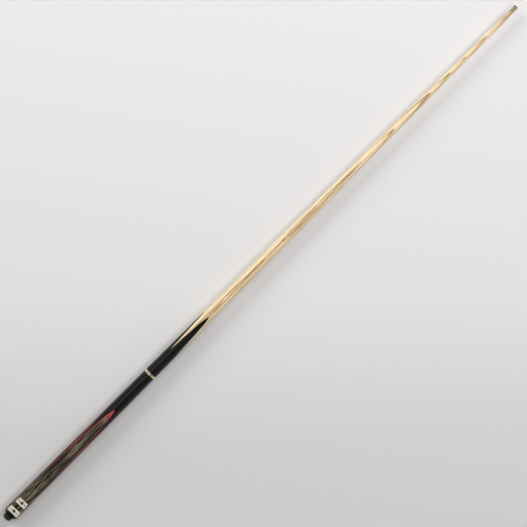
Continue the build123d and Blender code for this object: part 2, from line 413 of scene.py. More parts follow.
for reach, layers in SETS:
    spot = add(tree, "MapRange", {
        "Value": layer.outputs[0], "From Min": reach[0], "From Max": reach[1],
    })
    shades = add(tree, "ValToRGB", {"Fac": spot.outputs["Result"]},
                 stops=layer_stops(layers, reach))
    if band is None:
        band = shades
    else:
        band = add(tree, "Math", {0: band.outputs[0], 1: shades.outputs["Color"]},
                   operation="MAXIMUM")
fibre = add(tree, "TexNoise", {
    "Vector": add(tree, "Mapping", {"Vector": place, "Scale": per_mm(45, 1.8, 1.8)}).outputs[0],
    "Scale": 1.0, "Detail": 4.0, "Roughness": 0.6,
})
streaky = add(tree, "MapRange", {
    "Value": fibre.outputs["Fac"], "From Min": 0.3, "From Max": 0.7, "To Min": 0.55, "To Max": 1.0,
})
pores = add(tree, "TexNoise", {
    "Vector": add(tree, "Mapping", {"Vector": place, "Scale": per_mm(8, 0.5, 0.5)}).outputs[0],
    "Scale": 1.0, "Detail": 1.0,
})
pore = add(tree, "MapRange", {
    "Value": pores.outputs["Fac"], "From Min": 0.56, "From Max": 0.66, "To Max": 0.5,
})
shaded = add(tree, "Math", {0: band.outputs[0], 1: streaky.outputs["Result"]}, operation="MULTIPLY")
pored = add(tree, "Math", {0: band.outputs[0], 1: pore.outputs["Result"]}, operation="MULTIPLY")
dark = add(tree, "Math", {0: shaded.outputs[0], 1: pored.outputs[0]}, operation="ADD",
           use_clamp=True)
silky = add(tree, "MapRange", {"Value": fibre.outputs["Fac"], "From Min": 0.35, "From Max": 0.65})
pale = add(tree, "MixRGB", {
    "Fac": silky.outputs["Result"], "Color1": colour("#FDEAC6"), "Color2": colour("#DFC08F"),
})
wood = add(tree, "MixRGB", {
    "Fac": dark.outputs[0], "Color1": pale.outputs["Color"], "Color2": colour("#7C5A2A"),
})
chalk = add(tree, "MapRange", {
    "Value": axes.outputs["X"], "From Min": CHALKED[0], "From Max": CHALKED[1],
    "To Max": CHALKED[2],
})
handled = add(tree, "MixRGB", {
    "Fac": chalk.outputs["Result"], "Color1": wood.outputs["Color"], "Color2": colour("#CCC8C0"),
}, blend_type="MULTIPLY")
tree.links.new(handled.outputs["Color"], skin.inputs["Base Color"])
sheen = add(tree, "MapRange", {"Value": dark.outputs[0], "To Min": 0.36, "To Max": 0.5})
tree.links.new(sheen.outputs["Result"], skin.inputs["Roughness"])
hollow = add(tree, "Bump", {
    "Height": pored.outputs[0], "Strength": 0.35, "Distance": 0.05 * MM,
}, invert=True)
tree.links.new(hollow.outputs["Normal"], skin.inputs["Normal"])
print("finish:", ash.name)

# %% [markdown]
# ## Ebony
# The dark splices, the strips round the butt's core and the end cap are ebony under a thin
# lacquer, buffed to a satin gloss.  To the eye it is almost black, with faint brown streaks
# that only show in the light, and the lacquer carries a soft and broad reflection.

# %% Ebony finish
ebony, tree, skin, place = new_finish(
    "ebony_lacquered_and_buffed", IOR=1.5, Specular_IOR_Level=0.2, Roughness=0.38,
    Coat_Weight=0.35, Coat_Roughness=0.18,
)
streak = add(tree, "TexNoise", {
    "Vector": add(tree, "Mapping", {"Vector": place, "Scale": per_mm(45, 1.6, 1.6)}).outputs[0],
    "Scale": 1.0, "Detail": 5.0, "Roughness": 0.62,
})
black = add(tree, "ValToRGB", {"Fac": streak.outputs["Fac"]}, stops=[
    (0.35, colour("#0C0B0D")), (0.6, colour("#131214")), (0.78, colour("#2A211D")),
])
tree.links.new(black.outputs["Color"], skin.inputs["Base Color"])
print("finish:", ebony.name)

# %% [markdown]
# ## Figured hardwood
# The four overlays on the butt are a dense olive-brown wood with black lines that wander like
# the contours on a map.  That is just how they are drawn: the tree's rings, which run at a
# slight angle through the wood, are pushed about by a stretched noise, and a sine wave turns
# them into even dark lines.  Fine streaks along the grain break the lines up, and the same
# lacquer lies over all of it.  Past the plates the wood is redder away from the middle, and
# the overlays at the sides are cut from redder wood still.

# %% Figured wood finish
RING_PACE = (-0.0564, 0.0, 1.61)    # radians of the sine wave per millimetre along each axis
RING_WANDER = 13.0                  # radians that the noise moves them by
RED_FLANK = (3.5, 7.0)              # the red comes in between these distances from the middle
RED_FORWARD = (90.0, 150.0, 0.9)    # and between these stations, and how much of it
figured, tree, skin, place = new_finish(
    "figured_hardwood_lacquered", IOR=1.5, Specular_IOR_Level=0.2, Roughness=0.38,
    Coat_Weight=0.35, Coat_Roughness=0.18,
)
field = add(tree, "TexNoise", {
    "Vector": add(tree, "Mapping", {"Vector": place, "Scale": per_mm(70, 8, 8)}).outputs[0],
    "Scale": 1.0, "Detail": 1.5, "Distortion": 0.8,
})
rings = add(tree, "VectorMath", {
    0: place, 1: [pace / MM for pace in RING_PACE],
}, operation="DOT_PRODUCT")
levels = add(tree, "Math", {
    0: field.outputs["Fac"], 1: RING_WANDER, 2: rings.outputs["Value"],
}, operation="MULTIPLY_ADD")
wander = add(tree, "Math", {0: levels.outputs[0]}, operation="SINE")
line = add(tree, "MapRange", {"Value": wander.outputs[0], "From Min": -0.2, "From Max": 0.65})
grain = add(tree, "TexNoise", {
    "Vector": add(tree, "Mapping", {"Vector": place, "Scale": per_mm(38, 1.9, 1.9)}).outputs[0],
    "Scale": 1.0, "Detail": 4.0, "Roughness": 0.65,
})
olive = add(tree, "ValToRGB", {"Fac": grain.outputs["Fac"]}, stops=[
    (0.34, colour("#262219")), (0.5, colour("#565040")), (0.66, colour("#999079")),
])
broken = add(tree, "MapRange", {
    "Value": grain.outputs["Fac"], "From Min": 0.35, "From Max": 0.6, "To Min": 1.0, "To Max": 0.4,
})
inked = add(tree, "Math", {0: line.outputs["Result"], 1: broken.outputs["Result"]},
            operation="MULTIPLY")
growth = add(tree, "TexNoise", {
    "Vector": add(tree, "Mapping", {"Vector": place, "Scale": per_mm(120, 6, 6)}).outputs[0],
    "Scale": 1.0, "Detail": 1.0,
})
shadow = add(tree, "MapRange", {
    "Value": growth.outputs["Fac"], "From Min": 0.38, "From Max": 0.56, "To Min": 0.9, "To Max": 0.0,
})
darkest = add(tree, "Math", {0: inked.outputs[0], 1: shadow.outputs["Result"]},
              operation="MAXIMUM")
figure = add(tree, "MixRGB", {
    "Fac": darkest.outputs[0], "Color1": olive.outputs["Color"], "Color2": colour("#0E0C08"),
})
split = add(tree, "SeparateXYZ", {"Vector": place})
off_centre = add(tree, "Math", {0: split.outputs["Y"]}, operation="ABSOLUTE")
flank = add(tree, "MapRange", {
    "Value": off_centre.outputs[0],
    "From Min": RED_FLANK[0] * MM, "From Max": RED_FLANK[1] * MM,
})
forward = add(tree, "MapRange", {
    "Value": split.outputs["X"], "From Min": RED_FORWARD[0] * MM,
    "From Max": RED_FORWARD[1] * MM, "To Max": RED_FORWARD[2],
})
redness = add(tree, "Math", {0: flank.outputs["Result"], 1: forward.outputs["Result"]},
              operation="MULTIPLY")
tinted = add(tree, "MixRGB", {
    "Fac": redness.outputs[0], "Color1": figure.outputs["Color"], "Color2": colour("#D39EA4"),
}, blend_type="MULTIPLY")
tree.links.new(tinted.outputs["Color"], skin.inputs["Base Color"])

figured_side = recoloured(
    figured, "figured_hardwood_red_heart", ("#231A13", "#594639", "#927866")
)
print("finishes:", figured.name, figured_side.name)

# %% [markdown]
# ## Dyed veneer
# Under each overlay lies one sheet of sycamore veneer, dyed red right through.  Only its edge
# shows, as a thin line that draws the splice.  Dye takes unevenly along the fibres, so the red
# goes from coral to a deeper shade in short streaks.

# %% Veneer finish
veneer, tree, skin, place = new_finish(
    "sycamore_veneer_dyed_red", IOR=1.5, Specular_IOR_Level=0.2, Roughness=0.38,
    Coat_Weight=0.35, Coat_Roughness=0.18,
)
uptake = add(tree, "TexNoise", {
    "Vector": add(tree, "Mapping", {"Vector": place, "Scale": per_mm(12, 0.5, 0.5)}).outputs[0],
    "Scale": 1.0, "Detail": 3.0,
})
red = add(tree, "ValToRGB", {"Fac": uptake.outputs["Fac"]}, stops=[
    (0.3, colour("#88302F")), (0.7, colour("#BE5A54")),
])
tree.links.new(red.outputs["Color"], skin.inputs["Base Color"])
print("finish:", veneer.name)

# %% [markdown]
# ## Brass
# The two joint rings, the ferrule and the joint's screw are turned from bar and rubbed to a
# satin polish.  A tool leaves rings round the work about 0.1 mm apart; they are drawn 0.4 mm
# apart so that they break up the highlight.  A little tarnish makes some of the metal warmer
# and duller.  The ferrule has a copy of the finish with greyer, darker colours.

# %% Brass finish
brass, tree, skin, place = new_finish("brass_turned_and_polished", Metallic=1.0)
tool_marks = add(tree, "TexNoise", {
    "Vector": add(tree, "Mapping", {"Vector": place, "Scale": per_mm(0.4, 60, 60)}).outputs[0],
    "Scale": 1.0, "Detail": 2.0,
})
tarnish = add(tree, "TexNoise", {
    "Vector": add(tree, "Mapping", {"Vector": place, "Scale": per_mm(3, 5, 5)}).outputs[0],
    "Scale": 1.0, "Detail": 3.0,
})
gold = add(tree, "ValToRGB", {"Fac": tarnish.outputs["Fac"]}, stops=[
    (0.35, colour("#E6D3A0")), (0.65, colour("#FFF6DA")),
])
tree.links.new(gold.outputs["Color"], skin.inputs["Base Color"])
dull = add(tree, "MapRange", {"Value": tarnish.outputs["Fac"], "To Min": 0.52, "To Max": 0.36})
tree.links.new(dull.outputs["Result"], skin.inputs["Roughness"])
tooled = add(tree, "Bump", {
    "Height": tool_marks.outputs["Fac"], "Strength": 0.4, "Distance": 0.02 * MM,
})
tree.links.new(tooled.outputs["Normal"], skin.inputs["Normal"])
ferrule_brass = recoloured(brass, "brass_turned_and_dulled", ("#CFC09C", "#E8DCBA"))
print("finishes:", brass.name, ferrule_brass.name)

# %% [markdown]
# ## Badge plates, engraving, rubber, leather and steel
# The plates are cast cream resin, rubbed flat: slightly cloudy, with a soft gloss.  Their
# engraved borders and their lozenges are in dark olive paint.  The foot is moulded black
# rubber, dull, with a fine grain from its mould.  The tip is pressed leather, brown and
# scuffed, with short fibres.  The weight and the screw in the foot are drawn steel.

# %% Plate and paint finishes
resin, tree, skin, place = new_finish(
    "cream_resin_rubbed_flat", IOR=1.5, Roughness=0.38, Coat_Weight=0.5, Coat_Roughness=0.2
)
cloud = add(tree, "TexNoise", {
    "Vector": add(tree, "Mapping", {"Vector": place, "Scale": per_mm(5, 3, 3)}).outputs[0],
    "Scale": 1.0, "Detail": 3.0,
})
cream = add(tree, "ValToRGB", {"Fac": cloud.outputs["Fac"]}, stops=[
    (0.3, colour("#D9D3BF")), (0.7, colour("#F0EBDC")),
])
tree.links.new(cream.outputs["Color"], skin.inputs["Base Color"])

paint, tree, skin, place = new_finish("olive_paint_rubbed_in", IOR=1.5, Roughness=0.5)
thick = add(tree, "TexNoise", {
    "Vector": add(tree, "Mapping", {"Vector": place, "Scale": per_mm(0.8, 0.8, 0.8)}).outputs[0],
    "Scale": 1.0, "Detail": 2.0,
})
drab = add(tree, "ValToRGB", {"Fac": thick.outputs["Fac"]}, stops=[
    (0.3, colour("#2E2E24")), (0.7, colour("#4C4B3A")),
])
tree.links.new(drab.outputs["Color"], skin.inputs["Base Color"])
print("finishes:", resin.name, paint.name)

# %% Rubber finish
rubber, tree, skin, place = new_finish("rubber_moulded_black", IOR=1.52, Roughness=0.6)
grit = add(tree, "TexNoise", {
    "Vector": add(tree, "Mapping", {"Vector": place, "Scale": per_mm(0.5, 0.5, 0.5)}).outputs[0],
    "Scale": 1.0, "Detail": 2.0,
})
bloom = add(tree, "TexNoise", {
    "Vector": add(tree, "Mapping", {"Vector": place, "Scale": per_mm(6, 6, 6)}).outputs[0],
    "Scale": 1.0, "Detail": 3.0,
})
soot = add(tree, "ValToRGB", {"Fac": bloom.outputs["Fac"]}, stops=[
    (0.3, colour("#1B1A18")), (0.75, colour("#2E2C28")),
])
tree.links.new(soot.outputs["Color"], skin.inputs["Base Color"])
grained = add(tree, "Bump", {
    "Height": grit.outputs["Fac"], "Strength": 0.5, "Distance": 0.06 * MM,
})
tree.links.new(grained.outputs["Normal"], skin.inputs["Normal"])
print("finish:", rubber.name)

# %% Leather finish
leather, tree, skin, place = new_finish("leather_pressed_and_scuffed", IOR=1.45, Roughness=0.8)
fibres = add(tree, "TexNoise", {
    "Vector": add(tree, "Mapping", {"Vector": place, "Scale": per_mm(0.7, 0.35, 0.35)}).outputs[0],
    "Scale": 1.0, "Detail": 5.0, "Roughness": 0.7,
})
hide = add(tree, "ValToRGB", {"Fac": fibres.outputs["Fac"]}, stops=[
    (0.3, colour("#5E4E43")), (0.55, colour("#87766A")), (0.75, colour("#A59588")),
])
tree.links.new(hide.outputs["Color"], skin.inputs["Base Color"])
napped = add(tree, "Bump", {
    "Height": fibres.outputs["Fac"], "Strength": 0.7, "Distance": 0.12 * MM,
})
tree.links.new(napped.outputs["Normal"], skin.inputs["Normal"])
print("finish:", leather.name)

# %% Steel finish
steel, tree, skin, place = new_finish("steel_drawn_bright", Metallic=1.0)
drawn = add(tree, "TexNoise", {
    "Vector": add(tree, "Mapping", {"Vector": place, "Scale": per_mm(30, 0.4, 0.4)}).outputs[0],
    "Scale": 1.0, "Detail": 3.0,
})
bright = add(tree, "ValToRGB", {"Fac": drawn.outputs["Fac"]}, stops=[
    (0.3, colour("#8E9092")), (0.7, colour("#B9BBBD")),
])
tree.links.new(bright.outputs["Color"], skin.inputs["Base Color"])
scratched = add(tree, "MapRange", {"Value": drawn.outputs["Fac"], "To Min": 0.4, "To Max": 0.26})
tree.links.new(scratched.outputs["Result"], skin.inputs["Roughness"])
print("finish:", steel.name)

# %% [markdown]
# ## The shaft
# The shaft blank is a long taper.  Four flat faces are planed at its thick end, which leaves a
# square spear with sharp points, and an ebony splice is glued on each.  The side splices are
# glued first, so the front and back ones run over them.  Sharp points come from the geometry:
# a shallow plane running out of a cone ends in a long arrow, just as the maker's plane does.

# %% Ash shaft and its ebony points
TENON_RADIUS = 3.7
GLUE_GAP = 0.05
STUD_RADIUS = 5.0
STUD_END_X = span("joint_stud")[1]
FERRULE_FLOOR_X = LEATHER_X - 1.0    # the ferrule's end wall is this thick


def shaft_face(side):
    """Glue plane of one of the shaft's four splices."""
    turn = TURNS[side] + CLOCKING
    return glue_plane(EBONY_TIP_X, cue_radius(EBONY_TIP_X), EBONY_SLOPE, turn)


spear = turned("ash_shaft_grain", [
    (SHAFT_COLLAR_X, cue_radius(SHAFT_COLLAR_X)), (FERRULE_X, cue_radius(FERRULE_X)),
    (FERRULE_X, TENON_RADIUS), (FERRULE_FLOOR_X - GLUE_GAP, TENON_RADIUS),
])
dress(spear, [under(shaft_face(side)) for side in TURNS])
drill(spear, SHAFT_COLLAR_X - PAST, STUD_END_X, STUD_RADIUS)
spear.data.materials.append(ash)
finish_piece(spear, "shaft", "ash", "ash_shaft")

for side in TURNS:
    point = cone(f"shaft_ebony_point_{side}", SHAFT_COLLAR_X, EBONY_TIP_X)
    cuts = [over(shaft_face(side))]
    if side in ("left", "right"):
        cuts += [under(shaft_face("front")), under(shaft_face("back"))]
    dress(point, cuts)
    point.data.materials.append(ebony)
    finish_piece(point, "shaft", "ebony", f"shaft_ebony_splice_{side}")

# %% [markdown]
# ## The butt
# The butt is built up in the same way but twice: ebony strips on a square ash core, and then
# four overlays of figured wood, each on a sheet of red veneer.  The strips run the whole length
# and show only in front of the overlays.  The bores for the balance weight and for the joint's
# threaded sleeve go through whatever lies in their way.

# %% Strips, veneers and overlays
FIGURED_HEIGHT = cue_radius(FIGURED_TIP_X)
CORE_END = cue_radius(EBONY_TIP_X) - EBONY_SLOPE * (EBONY_TIP_X - JOINT_X)
CORE_SLOPE = (CORE_END - CORE_START) / (JOINT_X - WOOD_X)
SLEEVE_X = span("joint_insert")[0]
SLEEVE_RADIUS = 8.0
WEIGHT_X = span("balance_weight")[1]
WEIGHT_RADIUS = 5.0


def core_face(side):
    """Glue plane between the square core and an ebony strip."""
    return glue_plane(WOOD_X, CORE_START, CORE_SLOPE, TURNS[side])


def veneer_face(side):
    """Glue plane between an ebony strip and its veneer."""
    return glue_plane(FIGURED_TIP_X, FIGURED_HEIGHT, FIGURED_SLOPE, TURNS[side])


def overlay_face(side):
    """Glue plane between a veneer and its overlay."""
    return glue_plane(FIGURED_TIP_X, FIGURED_HEIGHT + VENEER, FIGURED_SLOPE, TURNS[side])


def bored(piece):
    """Both bores of the butt."""
    drill(piece, WOOD_X - PAST, WEIGHT_X, WEIGHT_RADIUS)
    return drill(piece, SLEEVE_X, BUTT_COLLAR_X + PAST, SLEEVE_RADIUS)


overlays = {}
for side in TURNS:
    edges = ("front", "back") if side in ("left", "right") else ()
    strip = cone(f"ebony_strip_{side}", WOOD_X, BUTT_COLLAR_X)
    dress(strip, [under(veneer_face(s)) for s in TURNS] + [over(core_face(side))]
          + [under(core_face(s)) for s in edges])
    bored(strip).data.materials.append(ebony)
    finish_piece(strip, "butt", "ebony", f"butt_ebony_strip_{side}")

    sheet = cone(f"veneer_line_{side}", WOOD_X, FIGURED_TIP_X)
    dress(sheet, [over(veneer_face(side)), under(overlay_face(side))]
          + [under(veneer_face(s)) for s in edges])
    bored(sheet).data.materials.append(veneer)
    finish_piece(sheet, "butt", "red_veneer", f"red_veneer_{side}")

    overlay = cone(f"figured_overlay_{side}", WOOD_X, FIGURED_TIP_X)
    dress(overlay, [over(overlay_face(side))] + [under(veneer_face(s)) for s in edges])
    overlays[side] = drill(overlay, WOOD_X - PAST, WEIGHT_X, WEIGHT_RADIUS)

# %% [markdown]
# ## The flat
# The flat is one long shallow cut on the front overlay.  Sanding rounds its two long edges a
# little, so they catch the light.  Two pockets are let into it for the plates.  Each is cut by
# a block with a sloping underside, so that its floor lies parallel to the flat.

# %% The flat and the pockets
PLATE_THICKNESS = 0.5
PLATES = ("badge_plate_rear", "badge_plate_front")
BLOCK_WIDTH = 60.0         # wider than the cue, so the pocket runs out at both sides
EASING = 0.35              # how far back the flat's edges are rounded
EASED_TO_X = 100.0         # and up to where, because its far end is too fine to round
SAME_X = 0.01              # ends of an edge that are this close in x make it a crosswise one
FACES_UP = 0.999           # cosine of the angle to the flat's own normal
FLAT_HEIGHT = cue_radius(FLAT_APEX_X)
FLAT = glue_plane(FLAT_APEX_X, FLAT_HEIGHT, FLAT_SLOPE, 0)
PLATE_BED = glue_plane(FLAT_APEX_X, FLAT_HEIGHT - PLATE_THICKNESS, FLAT_SLOPE, 0)


def flat_point(x, y, lift=0.0):
    """A point on the flat, in metres, lifted off it by so many millimetres."""
    height = FLAT_HEIGHT - FLAT_SLOPE * (FLAT_APEX_X - x)
    return Vector((x, y, height)) * MM + FLAT[1] * lift * MM


def block(name, start, end):
    """A block over the bed of a plate, to cut its pocket with."""
    bpy.ops.object.select_all(action="DESELECT")
    size = (end - start, BLOCK_WIDTH, BLOCK_WIDTH)
    bpy.ops.mesh.primitive_cube_add(
        size=MM, location=((start + end) / 2 * MM, 0, 0), scale=size
    )
    cutter = bpy.context.object
    cutter.name = name
    bpy.ops.object.transform_apply(location=True, rotation=True, scale=True)
    return dress(cutter, [over(PLATE_BED)])


def pick_faces(piece, least, most=math.inf):
    """Select faces by the cosine of their angle to the flat; the piece is left in edit mode."""
    bpy.context.view_layer.objects.active = piece
    bpy.ops.object.mode_set(mode="EDIT")
    bpy.ops.mesh.select_mode(type="FACE")
    bpy.ops.mesh.select_all(action="DESELECT")
    bpy.ops.object.mode_set(mode="OBJECT")
    for face in piece.data.polygons:
        face.select = least < face.normal.dot(FLAT[1]) < most
    bpy.ops.object.mode_set(mode="EDIT")


def ease_flat_edges(piece):
    """Round the long edges of the flat a little, as sanding and lacquer leave them."""
    pick_faces(piece, FACES_UP)
    bpy.ops.mesh.select_mode(type="EDGE")
    bpy.ops.mesh.region_to_loop()
    bpy.ops.object.mode_set(mode="OBJECT")
    mesh = piece.data
    for edge in mesh.edges:
        ends = [mesh.vertices[index].co for index in edge.vertices]
        crosswise = abs(ends[0].x - ends[1].x) < SAME_X * MM
        eased = max(end.x for end in ends) < EASED_TO_X * MM
        edge.select = edge.select and eased and not crosswise
    bpy.ops.object.mode_set(mode="EDIT")
    bpy.ops.mesh.bevel(offset=EASING * MM, segments=3, clamp_overlap=False)
    bpy.ops.object.mode_set(mode="OBJECT")


dress(overlays["front"], [under(FLAT)])
ease_flat_edges(overlays["front"])
for name in PLATES:
    cut_with(overlays["front"], block("pocket_cutter", *span(name)))
for side, overlay in overlays.items():
    overlay.data.materials.append(figured if side in ("front", "back") else figured_side)
    finish_piece(overlay, "butt", "figured_wood", f"figured_splice_{side}")

# %% [markdown]
# ## The plates
# A plate is dressed flush with the wood all round, so it is a thin slice of the same cone
# between two planes.  Its engraved border is three insets: the first sets the margin, the
# second goes down and the third comes back up, which leaves a V groove.  Three lozenges are
# inlaid in a row.  Each is a stretched square in a pocket of its own; its rim stands a hair
# proud and its middle is sunk.

# %% Plates with an engraved border
GROOVE_WIDTH = 0.35
GROOVE_DEPTH = 0.15
GROOVE_SLOPES = (0.7, 0.98)    # cosines of the angle of the groove's two sides to the flat
BORDER = 1.1
LOZENGES = ((0.0, 8.0, 9.5), (6.9, 4.2, 3.4), (-6.9, 4.2, 3.4))    # y, length, width
INLAY_DEPTH = 0.25
RIM_BEVEL, RIM_RISE = 0.25, 0.04
RIM_WIDTH = 0.35
MIDDLE_BEVEL, MIDDLE_SINK = 0.12, 0.1


def lozenge(name, x, y, length, width, lift, depth):
    """A four-sided block on the flat, from lift down by depth; length is along the cue."""
    bpy.ops.object.select_all(action="DESELECT")
    bpy.ops.mesh.primitive_circle_add(
        vertices=4, radius=0.5 * MM, fill_type="NGON", location=flat_point(x, y, lift - depth),
        rotation=(0, -math.atan(FLAT_SLOPE), 0),
    )
    piece = bpy.context.object
    piece.scale = (length, width, 1)
    piece.name = piece.data.name = name
    bpy.ops.object.transform_apply(location=True, rotation=True, scale=True)
    bpy.ops.object.mode_set(mode="EDIT")
    bpy.ops.mesh.select_mode(type="FACE")
    bpy.ops.mesh.select_all(action="SELECT")
    rise = FLAT[1] * depth * MM
    bpy.ops.mesh.extrude_region_move(TRANSFORM_OT_translate={"value": rise})
    bpy.ops.mesh.select_all(action="SELECT")
    bpy.ops.mesh.normals_make_consistent(inside=False)
    bpy.ops.object.mode_set(mode="OBJECT")
    return piece


for name in PLATES:
    start, end = span(name)
    plate = dress(cone(f"{name}_engraved", start, end), [under(FLAT), over(PLATE_BED)])
    pick_faces(plate, FACES_UP)
    bpy.ops.mesh.inset(thickness=BORDER * MM)
    bpy.ops.mesh.inset(thickness=GROOVE_WIDTH / 2 * MM, depth=-GROOVE_DEPTH * MM)
    bpy.ops.mesh.inset(thickness=GROOVE_WIDTH / 2 * MM, depth=GROOVE_DEPTH * MM)
    bpy.ops.object.mode_set(mode="OBJECT")
    plate.data.materials.append(resin)
    plate.data.materials.append(paint)
    pick_faces(plate, *GROOVE_SLOPES)
    plate.active_material_index = 1
    bpy.ops.object.material_slot_assign()
    bpy.ops.object.mode_set(mode="OBJECT")
    x = (start + end) / 2
    for number, (y, length, width) in enumerate(LOZENGES, 1):
        cutter = lozenge("lozenge_cutter", x, y, length, width, PAST, PAST + INLAY_DEPTH)
        cut_with(plate, cutter)
        inlay = lozenge(f"{name}_lozenge_{number}", x, y, length, width, 0.0, INLAY_DEPTH)
        pick_faces(inlay, FACES_UP)
        bpy.ops.mesh.inset(thickness=RIM_BEVEL * MM, depth=RIM_RISE * MM)
        bpy.ops.mesh.inset(thickness=RIM_WIDTH * MM)
        bpy.ops.mesh.inset(thickness=MIDDLE_BEVEL * MM, depth=-MIDDLE_SINK * MM)
        bpy.ops.object.mode_set(mode="OBJECT")
        inlay.data.materials.append(paint)
        finish_piece(inlay, "butt", "ebony", angle=20)
    finish_piece(plate, "butt", "cream_plate", name)

# %% [markdown]
# ## The end of the butt
# A turned ebony cap closes the spliced blank, with a full round shoulder, and the flat runs
# across it.  The rubber foot is screwed on behind it: rounded at the rim, with a shallow cup in
# its face from the mould and a thin parting groove near the cap.

# %% Cap and rubber foot
SCREW_RADIUS = 2.0
SCREW_NECK_X = 5.4
SCREW_CLEARANCE = 0.1
CAP_FACE_RADIUS = 9.85
CAP_CHAMFER = (CAP_X + 0.15, 10.1)
SHOULDER = arc(CAP_CHAMFER, (11.75, 13.2), (WOOD_X, BUTT_RADIUS), steps=14)
cap = turned("ebony_end_cap", [(CAP_X, CAP_FACE_RADIUS), *SHOULDER])
dress(cap, [under(FLAT)])
ease_flat_edges(cap)
drill(cap, CAP_X - PAST, WOOD_X + PAST, SCREW_RADIUS + SCREW_CLEARANCE)
cap.data.materials.append(ebony)
finish_piece(cap, "butt", "ebony", "butt_cap", angle=12)

FOOT_RADIUS = 9.0
GROOVE_RADIUS = 8.85
FOOT_CUP = [(0.7, 2.4), (0.62, 2.9), (0.3, 3.3), (0.06, 3.6), (0.0, 4.0)]
RIM = arc((0.0, 5.4), (1.05, 7.95), (3.6, FOOT_RADIUS), steps=12)
PARTING_GROOVE = [
    (7.3, FOOT_RADIUS), (7.45, GROOVE_RADIUS), (7.6, GROOVE_RADIUS), (7.75, FOOT_RADIUS),
]
foot = turned("rubber_foot", [*FOOT_CUP, *RIM, *PARTING_GROOVE, (CAP_X, FOOT_RADIUS)])
drill(foot, SCREW_NECK_X, CAP_X + PAST, SCREW_RADIUS)
foot.data.materials.append(rubber)
finish_piece(foot, "butt", "rubber", "rubber_bumper", angle=30)

# %% [markdown]
# ## The joint
# Each half ends in a brass ring.  The edges that meet are broken by a small chamfer, which is
# what makes the closed joint show as one fine line.  The threaded stud and the threaded sleeve
# keep their CAD shapes and only get the finish.

# %% Joint rings
CHAMFER = 0.18
STUD_CLEARANCE_RADIUS = 6.4
butt_ring = turned("butt_joint_ring", [
    (BUTT_COLLAR_X, cue_radius(BUTT_COLLAR_X)), (JOINT_X - CHAMFER, JOINT_RADIUS),
    (JOINT_X, JOINT_RADIUS - CHAMFER),
])
drill(butt_ring, BUTT_COLLAR_X - PAST, JOINT_X + PAST, STUD_CLEARANCE_RADIUS)
butt_ring.data.materials.append(brass)
finish_piece(butt_ring, "butt_ring", "brass", "butt_collar", angle=20)

shaft_ring = turned("shaft_joint_ring", [
    (JOINT_X, JOINT_RADIUS - CHAMFER), (JOINT_X + CHAMFER, JOINT_RADIUS),
    (SHAFT_COLLAR_X, cue_radius(SHAFT_COLLAR_X)),
])
drill(shaft_ring, JOINT_X - PAST, SHAFT_COLLAR_X + PAST, STUD_RADIUS)
shaft_ring.data.materials.append(brass)
finish_piece(shaft_ring, "shaft", "brass", "shaft_collar", angle=20)

# %% [markdown]
# ## Ferrule and tip
# The ferrule is a thin brass cap that keeps the ash from splitting.  The leather tip is glued on
# it, cut flush with the brass, and domed with a file, so its crown is one shallow arc.

# %% Ferrule and leather tip
REAR_CHAMFER = (0.15, 0.06)    # along the cue, and off the radius
LIP_CHAMFER = (0.2, 0.12)
ferrule_radius = cue_radius(FERRULE_X)
ferrule = turned("brass_tip_ferrule", [
    (FERRULE_X, ferrule_radius - REAR_CHAMFER[1]), (FERRULE_X + REAR_CHAMFER[0], ferrule_radius),
    (LEATHER_X - LIP_CHAMFER[0], TIP_RADIUS), (LEATHER_X, TIP_RADIUS - LIP_CHAMFER[1]),
])
drill(ferrule, FERRULE_X - PAST, FERRULE_FLOOR_X, TENON_RADIUS + GLUE_GAP)
ferrule.data.materials.append(ferrule_brass)
finish_piece(ferrule, "shaft", "brass", "brass_ferrule", angle=20)

GLUE_EDGE, SWELL = (0.0, 0.1), (0.3, 0.02)    # for the leather's side, given the same way
DOME_HEIGHT, CROWN_RADIUS = 1.2, 0.25
HALFWAY_UP = (TIP_X - 0.32, 2.3)
DOME = arc((TIP_X - DOME_HEIGHT, TIP_RADIUS), HALFWAY_UP, (TIP_X, CROWN_RADIUS), steps=12)
tip = turned("leather_tip_domed", [
    *((LEATHER_X + forward, TIP_RADIUS - off) for forward, off in (GLUE_EDGE, SWELL)), *DOME,
])
tip.data.materials.append(leather)
finish_piece(tip, "shaft", "leather", "leather_tip", angle=30)

# %% [markdown]
# ## Pieces that stay as they are
# The core, the plug, the weight, the screws and the threaded sleeve are hidden until the cue is
# taken apart, and their CAD shapes are right.  They only need the finish of what they are made
# of, so it is put in their objects' own material slots.

# %% Finishes on the CAD nodes
KEPT = {
    "butt_ash_core": ash, "butt_plug": ash, "balance_weight": steel, "bumper_screw": steel,
    "joint_stud": brass, "joint_insert": brass,
}
for name, material in KEPT.items():
    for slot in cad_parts[name].material_slots:
        slot.material = material
print("kept:", ", ".join(KEPT))

# %% [markdown]
# ## The floor
# The cue lies on a wide sheet of plain pale paper, which the butt's thick end nearly touches.
# The sheet is shaded a little from one end to the other, as paper is under a lamp that stands
# to one side.  Here the shade is in the paper, so the lamps can be set for the cue alone.

# %% Paper floor
FLOOR_SIZE, FLOOR_X = 14.0, 0.7    # metres
FLOOR_GAP = 0.3                    # millimetres under the thickest part
PAPER_WAY = (0.708, 0.706, 0.0)    # the paper grows paler this way
PAPER_REACH = 0.5                  # metres from its middle, either way, that the shades cover

